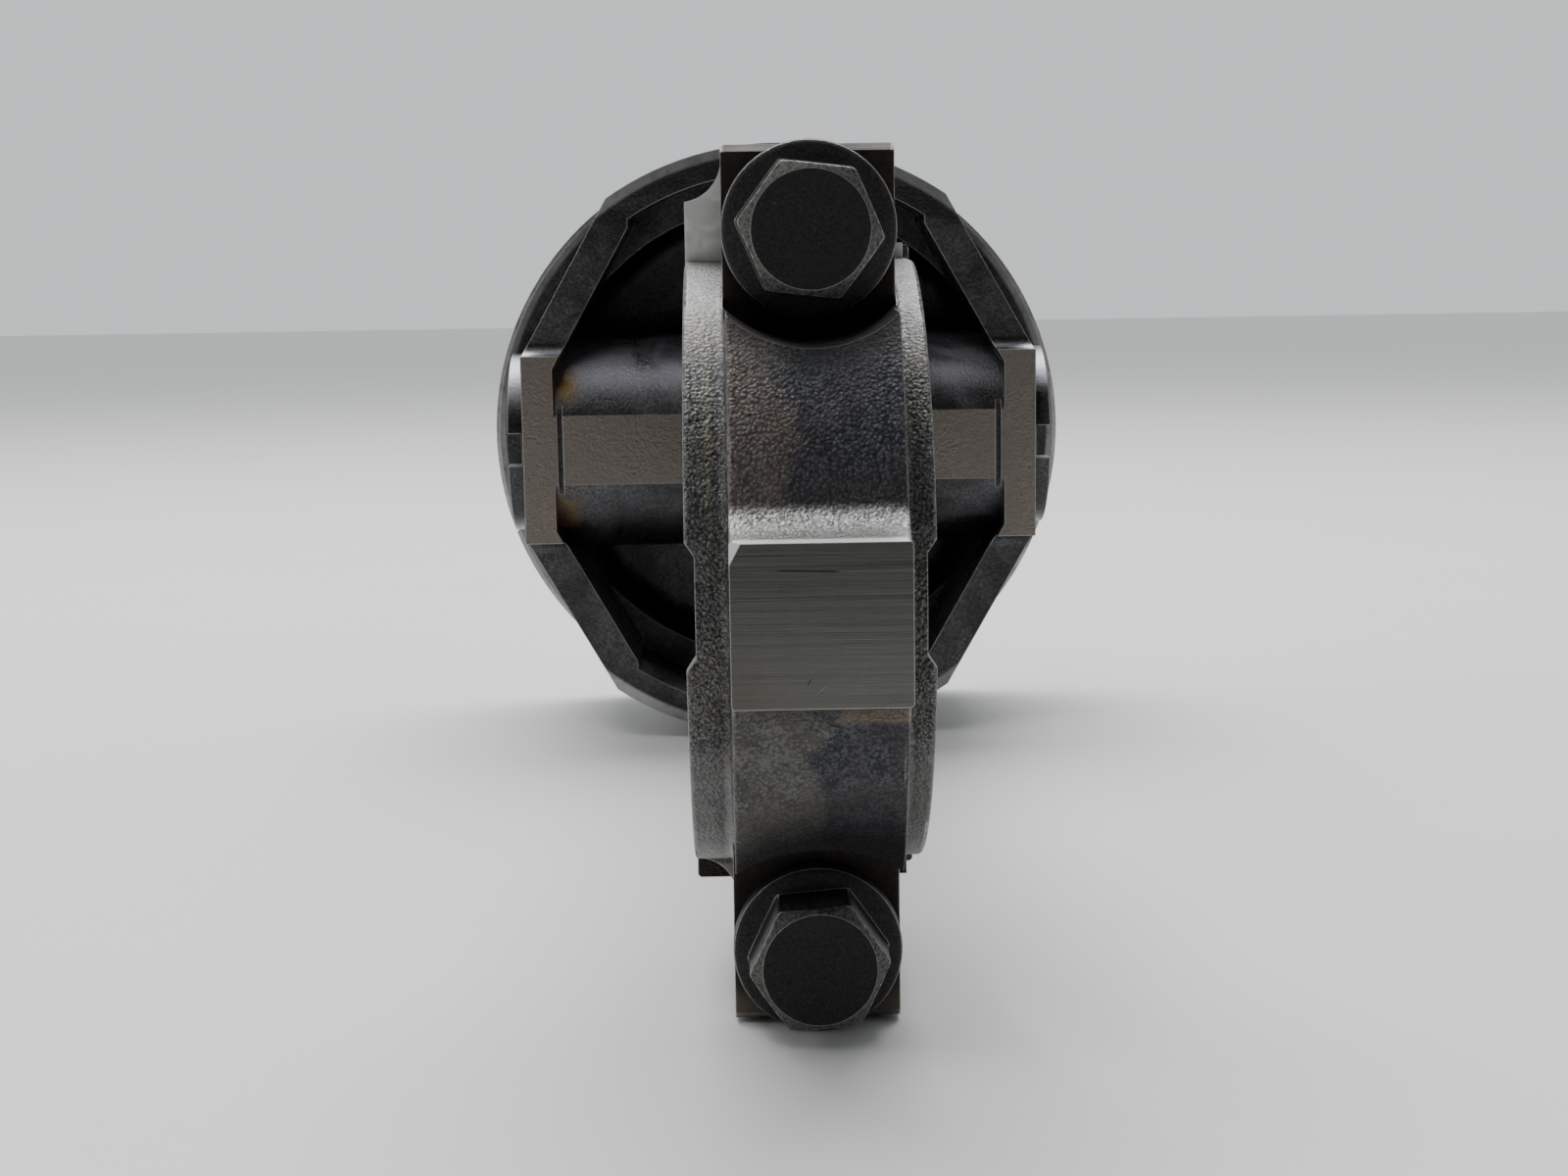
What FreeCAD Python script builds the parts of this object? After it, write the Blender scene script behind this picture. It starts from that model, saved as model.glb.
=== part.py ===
import FreeCAD
import Part
import math
import os

# Piston and connecting rod of a passenger-car engine, in millimetres.
# The origin is the centre of the crankpin bore.
# +X runs along the crankpin, +Y along the rod to the piston, +Z along the line of the two cap bolts.

os.makedirs("parts", exist_ok=True)

# Big end
JOURNAL_BORE_R = 26.02
HOUSING_R = 28.0
SHELL_HALF_WIDTH = 9.8
THRUST_HALF_WIDTH = 11.5
CAP_COLLAR_R = 30.7
ROD_COLLAR_R = 33.1
ROD_COLLAR_Z = 0.6
ROD_COLLAR_EDGE = 0.3
ROD_COLLAR_STEP_X = 10.6
FORGING_Z = 1.4
WEB_OFFSET_X = 0.6
BOLT_Z = 35.29
BOSS_HALF_WIDTH = 8.3
BOSS_OUTER_Z = 43.3
BOLT_SEAT_Y = -14.2
SEAT_SCALLOP_R = 12.0
SHOULDER_Y = 19.5
BORE_CHAMFER = 0.5

# Cap rib and balance pad
RIB_R = 37.0
RIB_HALF_WIDTH = 8.0
RIB_ROOT_FILLET_R = 1.0
COLLAR_EDGE_R = 0.4
UPPER_COLLAR_END_R = 0.6
LOWER_COLLAR_END_R = 2.4
COLLAR_SWEEP_R = 4.1
PAD_FACE_Y = -41.0
PAD_HALF_HEIGHT = 7.32
PAD_FACET = (1.0, 1.9, 1.8)
PAD_FILLET_R = 5.0
RELIEF_HALF_LENGTH = 4.7
RELIEF_DEPTH = 0.9

# Cap bolts and ring dowels
THREAD_R = 4.5
SHANK_R = 4.2
CAP_HOLE_R = 4.75
HEX_FLATS = 12.0
HEX_HEIGHT = 6.2
FLANGE_R = 8.38
FLANGE_THICKNESS = 3.1
BOLT_TIP_Y = 21.5
UPPER_HEX_TURN = 173.1
LOWER_HEX_TURN = 184.6
DOWEL_R = 5.4
DOWEL_HALF_LENGTH = 3.5

# Rod beam and small end
ROD_LENGTH = 150.0
BEAM_HALF_THICKNESS = 7.5
BEAM_WEB_HALF = 2.6
BEAM_HALF_WIDTH_LOW = 13.4
BEAM_HALF_WIDTH_HIGH = 10.2
BEAM_LOW_Y = 52.0
BEAM_HIGH_Y = 130.0
BEAM_FLANGE = 4.3
SMALL_END_R = 16.4
SMALL_END_HALF_WIDTH = 11.4
BUSH_OUTER_R = 12.4
PIN_R = 11.0
PIN_CLEARANCE = 0.02
PIN_INNER_R = 6.6
PIN_HALF_LENGTH = 31.0

# Piston; heights count from the pin axis towards the crown
LAND_R = 47.4
SKIRT_R = 47.93
CYLINDER_R = 48.0
CROWN_HEIGHT = 31.0
SKIRT_DROP = 13.5
PANEL_DROP = 16.6
PANEL_X = 41.0
PANEL_HALF_Z = 15.0
PANEL_WALL = 5.0
SKIRT_INNER_R = 43.3
SKIRT_EDGE_X = 27.0
CROWN_THICKNESS = 8.5
LAND_INNER_R = 38.6
SKIRT_TOP_HEIGHT = 11.0
GROOVE_ROOT_R = 43.2
TOP_GROOVE = (23.5, 25.0)
SECOND_GROOVE = (18.0, 19.5)
OIL_GROOVE = (11.5, 14.5)
PIN_BOSS_R = 17.5
PIN_BOSS_INNER_X = 12.7
PIN_COLLAR_R = 14.6
PIN_COLLAR_X = 43.6
CLIP_X = 32.1
CLIP_WIRE_R = 0.8
CLIP_GROOVE_R = 12.3

# Rings
RING_INNER_R = 43.9
RING_SIDE_GAP = 0.03
RING_END_GAP = 0.4
RAIL_THICKNESS = 0.5
EXPANDER_INNER_R = 45.2
EXPANDER_OUTER_R = 46.6
EXPANDER_SLOTS = 48

X_AXIS = FreeCAD.Vector(1, 0, 0)
Y_AXIS = FreeCAD.Vector(0, 1, 0)


def box(x0, x1, y0, y1, z0, z1):
    corner = FreeCAD.Vector(x0, y0, z0)
    return Part.makeBox(x1 - x0, y1 - y0, z1 - z0, corner)


def rod_along_x(radius, x0, x1, y=0.0, z=0.0):
    return Part.makeCylinder(radius, x1 - x0, FreeCAD.Vector(x0, y, z), X_AXIS)


def rod_along_y(radius, y0, y1, x=0.0, z=0.0):
    return Part.makeCylinder(radius, y1 - y0, FreeCAD.Vector(x, y0, z), Y_AXIS)


def prism_x(points_yz, x0, x1):
    corners = [FreeCAD.Vector(x0, y, z) for y, z in points_yz]
    face = Part.Face(Part.makePolygon(corners + corners[:1]))
    return face.extrude(FreeCAD.Vector(x1 - x0, 0, 0))


def prism_y(points_xz, y0, y1):
    corners = [FreeCAD.Vector(x, y0, z) for x, z in points_xz]
    face = Part.Face(Part.makePolygon(corners + corners[:1]))
    return face.extrude(FreeCAD.Vector(0, y1 - y0, 0))


def prism_z(points_xy, z0, z1):
    corners = [FreeCAD.Vector(x, y, z0) for x, y in points_xy]
    face = Part.Face(Part.makePolygon(corners + corners[:1]))
    return face.extrude(FreeCAD.Vector(0, 0, z1 - z0))


def revolve_y(points_ry):
    corners = [FreeCAD.Vector(r, y, 0) for r, y in points_ry]
    face = Part.Face(Part.makePolygon(corners + corners[:1]))
    return face.revolve(FreeCAD.Vector(0, 0, 0), Y_AXIS, 360)


def revolve_x(points_xr, y=0.0, z=0.0):
    corners = [FreeCAD.Vector(x, r, 0) for x, r in points_xr]
    face = Part.Face(Part.makePolygon(corners + corners[:1]))
    shape = face.revolve(FreeCAD.Vector(0, 0, 0), X_AXIS, 360)
    shape.translate(FreeCAD.Vector(0, y, z))
    return shape


def mirror_x(shape):
    return shape.mirror(FreeCAD.Vector(0, 0, 0), X_AXIS)


def mirror_z(shape):
    return shape.mirror(FreeCAD.Vector(0, 0, 0), FreeCAD.Vector(0, 0, 1))


def fuse(first, *others):
    shape = first
    for other in others:
        shape = shape.fuse(other)
    return shape.removeSplitter()


def cut(shape, *tools):
    for tool in tools:
        shape = shape.cut(tool)
    return shape


def edges_along_x(shape, keep):
    found = []
    for edge in shape.Edges:
        if len(edge.Vertexes) != 2:
            continue
        start = edge.Vertexes[0].Point
        end = edge.Vertexes[1].Point
        straight = abs(start.y - end.y) < 1e-6 and abs(start.z - end.z) < 1e-6
        if straight and keep(start.y, start.z):
            found.append(edge)
    return found


def circle_edges(shape, radius, sides_x):
    found = []
    for edge in shape.Edges:
        curve = edge.Curve
        if curve.TypeId != "Part::GeomCircle" or abs(curve.Radius - radius) > 1e-3:
            continue
        if any(abs(curve.Center.x - x) < 1e-3 for x in sides_x):
            found.append(edge)
    return found


def bore_with_chamfers(radius, half_width, chamfer):
    low = half_width - chamfer
    return revolve_x([
        (-half_width - 1, 0),
        (-half_width - 1, radius + chamfer + 1),
        (-half_width, radius + chamfer),
        (-low, radius),
        (low, radius),
        (half_width, radius + chamfer),
        (half_width + 1, radius + chamfer + 1),
        (half_width + 1, 0),
    ])


def pad_fillet():
    # Concave sweep from the rib's round surface up the pad's upper wall, before the forging shift.
    centre_z = PAD_HALF_HEIGHT + PAD_FILLET_R
    centre_y = -math.sqrt((RIB_R + PAD_FILLET_R) ** 2 - centre_z ** 2)
    scale = RIB_R / (RIB_R + PAD_FILLET_R)
    inner_z = PAD_HALF_HEIGHT - 2
    block = prism_x(
        [(-30, inner_z), (centre_y, inner_z), (centre_y, centre_z),
         (centre_y * scale, centre_z * scale), (-30, centre_z * scale)],
        WEB_OFFSET_X - RIB_HALF_WIDTH, WEB_OFFSET_X + RIB_HALF_WIDTH)
    sweep = rod_along_x(PAD_FILLET_R, -20, 20, centre_y, centre_z)
    return block.cut(sweep)


def oil_relief(side):
    # Shallow trapezoid cut in one thrust face; side is -1 on the left, +1 on the right.
    face_x = side * THRUST_HALF_WIDTH
    floor_x = side * (THRUST_HALF_WIDTH - RELIEF_DEPTH)
    out_x = side * (THRUST_HALF_WIDTH + 1)
    low = -RELIEF_HALF_LENGTH
    high = RELIEF_HALF_LENGTH
    slope = 1.3
    return prism_y(
        [(floor_x, low), (floor_x, high), (face_x, high + slope), (out_x, high + 2 * slope),
         (out_x, low - 2 * slope), (face_x, low - slope)],
        -45, -15)


def tang(side_x, sign_y, grow=0.0):
    # Locating lug of a bearing shell, bent out of its end at the parting plane.
    y0 = 0.0
    y1 = sign_y * (2.6 + grow)
    top = HOUSING_R + 1.0 + grow
    x0 = side_x - 1.8 - grow
    x1 = side_x + 1.8 + grow
    return box(x0, x1, min(y0, y1), max(y0, y1), HOUSING_R - 1.2, top)


def collar_end(side_x, side_z, radius):
    # What is taken off one corner of the collar where it runs out at the parting plane.
    centre_x = side_x * (THRUST_HALF_WIDTH - radius)
    centre_z = side_z * (CAP_COLLAR_R - 0.1 - radius)
    far_x = side_x * (THRUST_HALF_WIDTH + 1)
    far_z = side_z * (CAP_COLLAR_R + 1)
    block = box(min(centre_x, far_x), max(centre_x, far_x), -14, 1,
                min(centre_z, far_z), max(centre_z, far_z))
    return block.cut(rod_along_y(radius, -15, 2, centre_x, centre_z))


def collar_sweep():
    # Concave corner at the lower left, from the collar's end round to the side of the bolt boss.
    end_z = -CAP_COLLAR_R + 0.3
    low_z = end_z - COLLAR_SWEEP_R
    block = box(-THRUST_HALF_WIDTH, WEB_OFFSET_X - BOSS_HALF_WIDTH + 1, -5, 0, low_z, end_z + 2.2)
    return block.cut(rod_along_y(COLLAR_SWEEP_R, -6, 1, -THRUST_HALF_WIDTH, low_z))


def pad_facet(x0):
    # Pyramid that takes off the pad's upper left corner; its base lies in the sloping facet.
    along_x, down_z, back_y = PAD_FACET
    corner = FreeCAD.Vector(x0, PAD_FACE_Y, PAD_HALF_HEIGHT)
    offsets = [(along_x, 0, 0), (0, 0, -down_z), (0, back_y, 0)]
    points = [corner + FreeCAD.Vector(*offset) for offset in offsets]
    centre = (points[0] + points[1] + points[2]) * (1 / 3)
    base = [centre + (point - centre) * 2.5 for point in points]
    tip = corner + FreeCAD.Vector(-3, -4, 4)
    rims = [base, [tip, base[0], base[1]], [tip, base[1], base[2]], [tip, base[2], base[0]]]
    faces = [Part.Face(Part.makePolygon(rim + rim[:1])) for rim in rims]
    pyramid = Part.Solid(Part.Shell(faces))
    if pyramid.Volume < 0:
        pyramid.reverse()
    return pyramid


def cap_forging():
    # Collar, rib and balance pad as forged, before the forging shift.
    x0 = WEB_OFFSET_X - RIB_HALF_WIDTH
    x1 = WEB_OFFSET_X + RIB_HALF_WIDTH
    collar = rod_along_x(CAP_COLLAR_R, -THRUST_HALF_WIDTH, THRUST_HALF_WIDTH)
    collar = collar.makeFillet(
        COLLAR_EDGE_R, circle_edges(collar, CAP_COLLAR_R, (-THRUST_HALF_WIDTH, THRUST_HALF_WIDTH)))
    collar = collar.cut(box(-40, 40, 0, 60, -60, 60))
    collar = cut(collar, collar_end(1, 1, UPPER_COLLAR_END_R), collar_end(1, -1, LOWER_COLLAR_END_R))
    collar = cut(collar, oil_relief(-1), oil_relief(1))
    rib = rod_along_x(RIB_R, x0, x1).cut(box(-40, 40, -12, 60, -60, 60))
    pad = box(x0, x1, PAD_FACE_Y, -30, -PAD_HALF_HEIGHT, PAD_HALF_HEIGHT)
    sweep = pad_fillet()
    forging = fuse(collar, rib, pad, sweep, mirror_z(sweep))
    forging = forging.makeFillet(RIB_ROOT_FILLET_R, circle_edges(forging, CAP_COLLAR_R, (x0, x1)))
    forging = forging.makeFillet(COLLAR_EDGE_R, circle_edges(forging, RIB_R, (x0, x1)))
    return fuse(forging, collar_sweep()).cut(pad_facet(x0))


def cap_bolt_boss():
    edge = 0.7
    return prism_x(
        [(1, 20), (1, BOSS_OUTER_Z), (BOLT_SEAT_Y + edge, BOSS_OUTER_Z),
         (BOLT_SEAT_Y, BOSS_OUTER_Z - edge), (BOLT_SEAT_Y, 28), (-18, 28), (-18, 20)],
        WEB_OFFSET_X - BOSS_HALF_WIDTH, WEB_OFFSET_X + BOSS_HALF_WIDTH)


def seat_scallop(bolt_z):
    # Room for the bolt's flange, milled in the rib between the boss sides only.
    x0 = WEB_OFFSET_X - BOSS_HALF_WIDTH
    x1 = WEB_OFFSET_X + BOSS_HALF_WIDTH
    cutter = rod_along_y(SEAT_SCALLOP_R, -60, BOLT_SEAT_Y, WEB_OFFSET_X, bolt_z + FORGING_Z)
    return cutter.common(box(x0, x1, -60, BOLT_SEAT_Y, -60, 60))


def make_cap():
    forging = cap_forging()
    forging.translate(FreeCAD.Vector(0, 0, FORGING_Z))
    boss = cap_bolt_boss()
    shape = fuse(forging, boss, mirror_z(boss)).cut(box(-40, 40, 0, 60, -60, 60))
    for bolt_z in (BOLT_Z, -BOLT_Z):
        shape = cut(
            shape,
            seat_scallop(bolt_z),
            rod_along_y(CAP_HOLE_R, -60, 10, WEB_OFFSET_X, bolt_z),
            rod_along_y(DOWEL_R, -DOWEL_HALF_LENGTH - 0.2, 10, WEB_OFFSET_X, bolt_z))
    return cut(
        shape,
        bore_with_chamfers(HOUSING_R, THRUST_HALF_WIDTH, BORE_CHAMFER),
        mirror_z(tang(-5.0, -1, 0.15)))


def beam_half_width(y):
    share = (y - BEAM_LOW_Y) / (BEAM_HIGH_Y - BEAM_LOW_Y)
    return BEAM_HALF_WIDTH_LOW + share * (BEAM_HALF_WIDTH_HIGH - BEAM_HALF_WIDTH_LOW)


def crank_end_block():
    # Bolt bosses and the flanks that sweep from them into the beam.
    outline = [
        (0, 0), (0, BOSS_OUTER_Z), (13, BOSS_OUTER_Z), (SHOULDER_Y, BOSS_OUTER_Z - 3.4),
        (SHOULDER_Y, 30.3), (27, 28.0), (39, 18.6), (BEAM_LOW_Y, BEAM_HALF_WIDTH_LOW),
        (BEAM_LOW_Y + 8, beam_half_width(BEAM_LOW_Y + 8)), (BEAM_LOW_Y + 8, 0),
    ]
    half = prism_x(outline, WEB_OFFSET_X - BOSS_HALF_WIDTH, WEB_OFFSET_X + BOSS_HALF_WIDTH)
    half = half.makeFillet(2.5, edges_along_x(half, lambda y, z: abs(y - SHOULDER_Y) < 0.1 and z < 31))
    half = half.makeFillet(14.0, edges_along_x(half, lambda y, z: 35 < y < BEAM_LOW_Y + 1 and z > 5))
    half = half.makeFillet(4.0, edges_along_x(half, lambda y, z: 26 < y < 28 and z > 5))
    block = fuse(half, mirror_z(half))
    wide = BEAM_HALF_THICKNESS
    taper = prism_z([(9.2, 24), (wide, 46), (wide, 80), (30, 80), (30, 24)], -40, 40)
    return cut(block, taper, mirror_x(taper))


def beam():
    low = BEAM_LOW_Y - 4
    high = ROD_LENGTH - 9
    width_low = beam_half_width(low)
    width_high = beam_half_width(high)
    bar = prism_x([(low, -width_low), (low, width_low), (high, width_high), (high, -width_high)],
                  -BEAM_HALF_THICKNESS, BEAM_HALF_THICKNESS)
    long_edges = [edge for edge in bar.Edges if edge.Length > 60]
    return bar.makeFillet(1.6, long_edges)


def small_end_neck():
    # Flare from the beam into the small end.
    steps = 8
    start = BEAM_HIGH_Y - 12
    points = []
    for step in range(steps + 1):
        share = step / steps
        y = start + share * (ROD_LENGTH - 6 - start)
        points.append((y, beam_half_width(y) - 0.2 + 5.4 * share ** 2.5))
    upper = points + [(ROD_LENGTH, 14.5)]
    lower = [(y, -z) for y, z in reversed(upper)]
    return prism_x(upper + lower, -BEAM_HALF_THICKNESS + 0.5, BEAM_HALF_THICKNESS - 0.5)


def beam_pocket(side):
    # Recess of the I-section on one side of the beam.
    low = BEAM_LOW_Y + 3
    high = BEAM_HIGH_Y - 5
    half_low = BEAM_HALF_WIDTH_LOW - BEAM_FLANGE
    half_high = BEAM_HALF_WIDTH_HIGH - BEAM_FLANGE
    x0 = side * BEAM_WEB_HALF
    x1 = side * 20
    pocket = prism_x(
        [(low, -half_low), (low, half_low), (high, half_high), (high, -half_high)],
        min(x0, x1), max(x0, x1))
    corners = edges_along_x(pocket, lambda y, z: True)
    return pocket.makeFillet(4.0, corners)


def thrust_shoulder():
    # Wider machined shoulder on the left of the upper bolt boss, swept into the boss side.
    x_in = WEB_OFFSET_X - BOSS_HALF_WIDTH
    reach = 38.0
    sweep = 4.4
    block = box(-THRUST_HALF_WIDTH, x_in + 2, 0, 15, 25, reach)
    root = box(-THRUST_HALF_WIDTH, x_in + 2, 0, 15, reach - 1, reach + sweep)
    groove = rod_along_y(sweep, -1, 16, x_in - sweep, reach + sweep)
    return fuse(block, root.cut(groove))


def make_rod():
    collar = rod_along_x(ROD_COLLAR_R, -THRUST_HALF_WIDTH, THRUST_HALF_WIDTH, 0, ROD_COLLAR_Z)
    collar = collar.makeChamfer(
        ROD_COLLAR_EDGE, circle_edges(collar, ROD_COLLAR_R, (-THRUST_HALF_WIDTH, THRUST_HALF_WIDTH)))
    upper_step = box(ROD_COLLAR_STEP_X, THRUST_HALF_WIDTH + 1, -1, 4, 31, 35)
    lower_step = box(ROD_COLLAR_STEP_X, THRUST_HALF_WIDTH + 1, -1, 4, -34, -28.9)
    collar = cut(collar, upper_step, lower_step)
    eye = rod_along_x(SMALL_END_R, -SMALL_END_HALF_WIDTH, SMALL_END_HALF_WIDTH, ROD_LENGTH)
    eye = eye.makeFillet(1.0, circle_edges(eye, SMALL_END_R, (-SMALL_END_HALF_WIDTH, SMALL_END_HALF_WIDTH)))
    body = fuse(crank_end_block(), beam(), small_end_neck(), collar, eye, thrust_shoulder())
    body = cut(body, box(-40, 40, -60, 0, -60, 60), beam_pocket(1), beam_pocket(-1))
    for bolt_z in (BOLT_Z, -BOLT_Z):
        body = cut(
            body,
            rod_along_y(THREAD_R, -1, 40, WEB_OFFSET_X, bolt_z),
            rod_along_y(DOWEL_R, -1, DOWEL_HALF_LENGTH + 0.2, WEB_OFFSET_X, bolt_z))
    eye_bore = bore_with_chamfers(BUSH_OUTER_R, SMALL_END_HALF_WIDTH, 0.6)
    eye_bore.translate(FreeCAD.Vector(0, ROD_LENGTH, 0))
    return cut(
        body,
        bore_with_chamfers(HOUSING_R, THRUST_HALF_WIDTH, BORE_CHAMFER),
        eye_bore,
        tang(5.0, 1, 0.15))


def make_shell(sign_y):
    # Half shell on the rod side (+1) or the cap side (-1) of the parting plane.
    ring = rod_along_x(HOUSING_R, -SHELL_HALF_WIDTH, SHELL_HALF_WIDTH)
    ring = ring.cut(rod_along_x(JOURNAL_BORE_R, -20, 20))
    keep = box(-30, 30, min(0, sign_y * 60), max(0, sign_y * 60), -60, 60)
    lug = tang(5.0 * sign_y, sign_y)
    if sign_y < 0:
        lug = mirror_z(lug)
    ring = fuse(ring.common(keep), lug)
    return ring.cut(rod_along_x(JOURNAL_BORE_R, -20, 20))


def hex_prism(turn_deg, y0, y1, z):
    corner_r = HEX_FLATS / math.sqrt(3)
    points = []
    for step in range(6):
        angle = math.radians(turn_deg + 60 * step)
        points.append((WEB_OFFSET_X + corner_r * math.cos(angle), z + corner_r * math.sin(angle)))
    return prism_y(points, y0, y1)


def make_bolt(turn_deg, z):
    flange_y = BOLT_SEAT_Y - FLANGE_THICKNESS
    top_y = flange_y - HEX_HEIGHT
    corner_r = HEX_FLATS / math.sqrt(3)
    face_r = HEX_FLATS / 2 - 0.45
    slope = math.tan(math.radians(30))
    wide_r = corner_r + 1
    shaping = revolve_y([
        (0, top_y), (face_r, top_y), (wide_r, top_y + (wide_r - face_r) * slope), (wide_r, 0), (0, 0)])
    shaping.translate(FreeCAD.Vector(WEB_OFFSET_X, 0, z))
    head = hex_prism(turn_deg, top_y, BOLT_SEAT_Y, z).common(shaping)
    rim = 0.5
    flange = revolve_y([
        (0, BOLT_SEAT_Y), (FLANGE_R - 0.3, BOLT_SEAT_Y), (FLANGE_R, BOLT_SEAT_Y - 0.3),
        (FLANGE_R, flange_y + rim), (FLANGE_R - rim, flange_y + 0.1), (0, flange_y - 0.2)])
    tip = 1.2
    shank = revolve_y([
        (0, BOLT_SEAT_Y - 1), (SHANK_R, BOLT_SEAT_Y - 1), (SHANK_R, 3.0), (THREAD_R, 3.4),
        (THREAD_R, BOLT_TIP_Y - tip), (THREAD_R - tip, BOLT_TIP_Y), (0, BOLT_TIP_Y)])
    shaft = FreeCAD.Vector(WEB_OFFSET_X, 0, z)
    flange.translate(shaft)
    shank.translate(shaft)
    return fuse(head, flange, shank)


def make_dowel(z):
    sleeve = rod_along_y(DOWEL_R, -DOWEL_HALF_LENGTH, DOWEL_HALF_LENGTH, WEB_OFFSET_X, z)
    return sleeve.cut(rod_along_y(CAP_HOLE_R, -10, 10, WEB_OFFSET_X, z))


def make_bush():
    half = SMALL_END_HALF_WIDTH - 0.2
    outer = rod_along_x(BUSH_OUTER_R, -half, half, ROD_LENGTH)
    return outer.cut(rod_along_x(PIN_R + PIN_CLEARANCE, -20, 20, ROD_LENGTH))


def make_pin():
    half = PIN_HALF_LENGTH
    edge = 0.6
    flare = 2.4
    return revolve_x([
        (-half, PIN_INNER_R + flare), (-half, PIN_R - edge), (-half + edge, PIN_R),
        (half - edge, PIN_R), (half, PIN_R - edge), (half, PIN_INNER_R + flare),
        (half - 9, PIN_INNER_R), (-half + 9, PIN_INNER_R)], ROD_LENGTH)


def make_clip(side):
    # Round-wire snap ring with its gap towards the crown.
    centre_r = CLIP_GROOVE_R - CLIP_WIRE_R
    centre = FreeCAD.Vector(side * CLIP_X, ROD_LENGTH, 0)
    ring = Part.makeTorus(centre_r, CLIP_WIRE_R, centre, X_AXIS)
    gap = box(side * CLIP_X - 3, side * CLIP_X + 3, ROD_LENGTH + 5, ROD_LENGTH + 20, -3.5, 3.5)
    return ring.cut(gap)


def panel_outline(flat_x, half_z, edge_x, edge_z, top_z):
    quarter = [(flat_x, 0), (flat_x, half_z), (edge_x, edge_z), (edge_x, top_z)]
    upper = quarter[1:] + [(-x, z) for x, z in reversed(quarter[1:])]
    lower = [(-x, -z) for x, z in upper]
    return upper + lower


def skirt_section(circle_r, flat_x, half_z, edge_x, edge_z, y0, y1):
    # A round skirt at top and bottom, with flat walls round the pin and slanted walls between.
    outline = prism_y(panel_outline(flat_x, half_z, edge_x, edge_z, 60), y0, y1)
    return outline.common(rod_along_y(circle_r, y0, y1))


def skirt_trim(panel_y, skirt_y):
    # Sets the skirt's edge back from the flat walls' edge, with a swept corner.
    trim = box(-60, 60, panel_y - 10, skirt_y, PANEL_HALF_Z, 70)
    corner = edges_along_x(trim, lambda y, z: abs(y - skirt_y) < 0.1 and abs(z - PANEL_HALF_Z) < 0.1)
    return trim.makeFillet(2.0, corner)


def piston_outer():
    crown_y = ROD_LENGTH + CROWN_HEIGHT
    panel_y = ROD_LENGTH - PANEL_DROP
    top_y = ROD_LENGTH + SKIRT_TOP_HEIGHT
    edge_z = math.sqrt(SKIRT_R ** 2 - SKIRT_EDGE_X ** 2)
    skirt = skirt_section(SKIRT_R, PANEL_X, PANEL_HALF_Z, SKIRT_EDGE_X, edge_z, panel_y, top_y + 1)
    trim = skirt_trim(panel_y, ROD_LENGTH - SKIRT_DROP)
    skirt = cut(skirt, trim, mirror_z(trim))
    band = rod_along_y(LAND_R, top_y, crown_y)
    rim = [edge for edge in band.Edges if abs(edge.BoundBox.YMin - crown_y) < 0.01]
    return fuse(skirt, band.makeChamfer(0.5, rim))


def piston_hollow():
    panel_y = ROD_LENGTH - PANEL_DROP
    roof_y = ROD_LENGTH + CROWN_HEIGHT - CROWN_THICKNESS
    flat_x = PANEL_X - PANEL_WALL
    half_z = PANEL_HALF_Z - 2
    edge_x = SKIRT_EDGE_X - 3.4
    edge_z = math.sqrt(SKIRT_R ** 2 - SKIRT_EDGE_X ** 2) - 4.6
    wide = skirt_section(SKIRT_INNER_R, flat_x, half_z, edge_x, edge_z,
                         panel_y - 5, ROD_LENGTH + SKIRT_TOP_HEIGHT - 3)
    deep = skirt_section(LAND_INNER_R, flat_x, half_z, edge_x, edge_z, panel_y, roof_y)
    roof_edges = [edge for edge in deep.Edges if edge.BoundBox.YMin > roof_y - 0.01]
    return fuse(wide, deep.makeFillet(4.0, roof_edges))


def pin_bosses():
    nose_y = ROD_LENGTH - PANEL_DROP
    roof_y = ROD_LENGTH + CROWN_HEIGHT - CROWN_THICKNESS + 1
    boss = rod_along_x(PIN_BOSS_R, PIN_BOSS_INNER_X, PANEL_X - 2, ROD_LENGTH)
    boss = boss.cut(box(0, 60, 0, nose_y, -60, 60))
    strut = prism_x(
        [(ROD_LENGTH, -15.0), (ROD_LENGTH, 15.0), (roof_y, 9.0), (roof_y, -9.0)],
        PIN_BOSS_INNER_X + 3, PANEL_X - 2)
    groove_x = PANEL_X - PANEL_WALL - 1.4
    groove = box(groove_x, groove_x + 0.8, nose_y - 1, nose_y + 0.6, -12, 12)
    pair = cut(fuse(boss, strut), groove)
    return fuse(pair, mirror_x(pair))


def outer_pin_collars():
    # Low round collars round the pin bore on the outside of the flat walls.
    collar = rod_along_x(PIN_COLLAR_R, PANEL_X - 3, PIN_COLLAR_X, ROD_LENGTH)
    return fuse(collar, mirror_x(collar))


def cut_pin_bores(shape):
    # Pin bore, clip groove, and the notch through which the clip is picked out.
    bore = rod_along_x(PIN_R + PIN_CLEARANCE, 5, 60, ROD_LENGTH)
    groove = Part.makeTorus(CLIP_GROOVE_R - CLIP_WIRE_R, CLIP_WIRE_R,
                            FreeCAD.Vector(CLIP_X, ROD_LENGTH, 0), X_AXIS)
    notch = box(CLIP_X - CLIP_WIRE_R, 60, ROD_LENGTH - 12.8, ROD_LENGTH - 6, -2.6, 2.6)
    collar_notch = box(PANEL_X + 0.4, 60, ROD_LENGTH - 25, ROD_LENGTH - 6, -2.6, 2.6)
    for tool in (bore, groove, notch, collar_notch):
        shape = cut(shape, tool, mirror_x(tool))
    return shape


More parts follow.
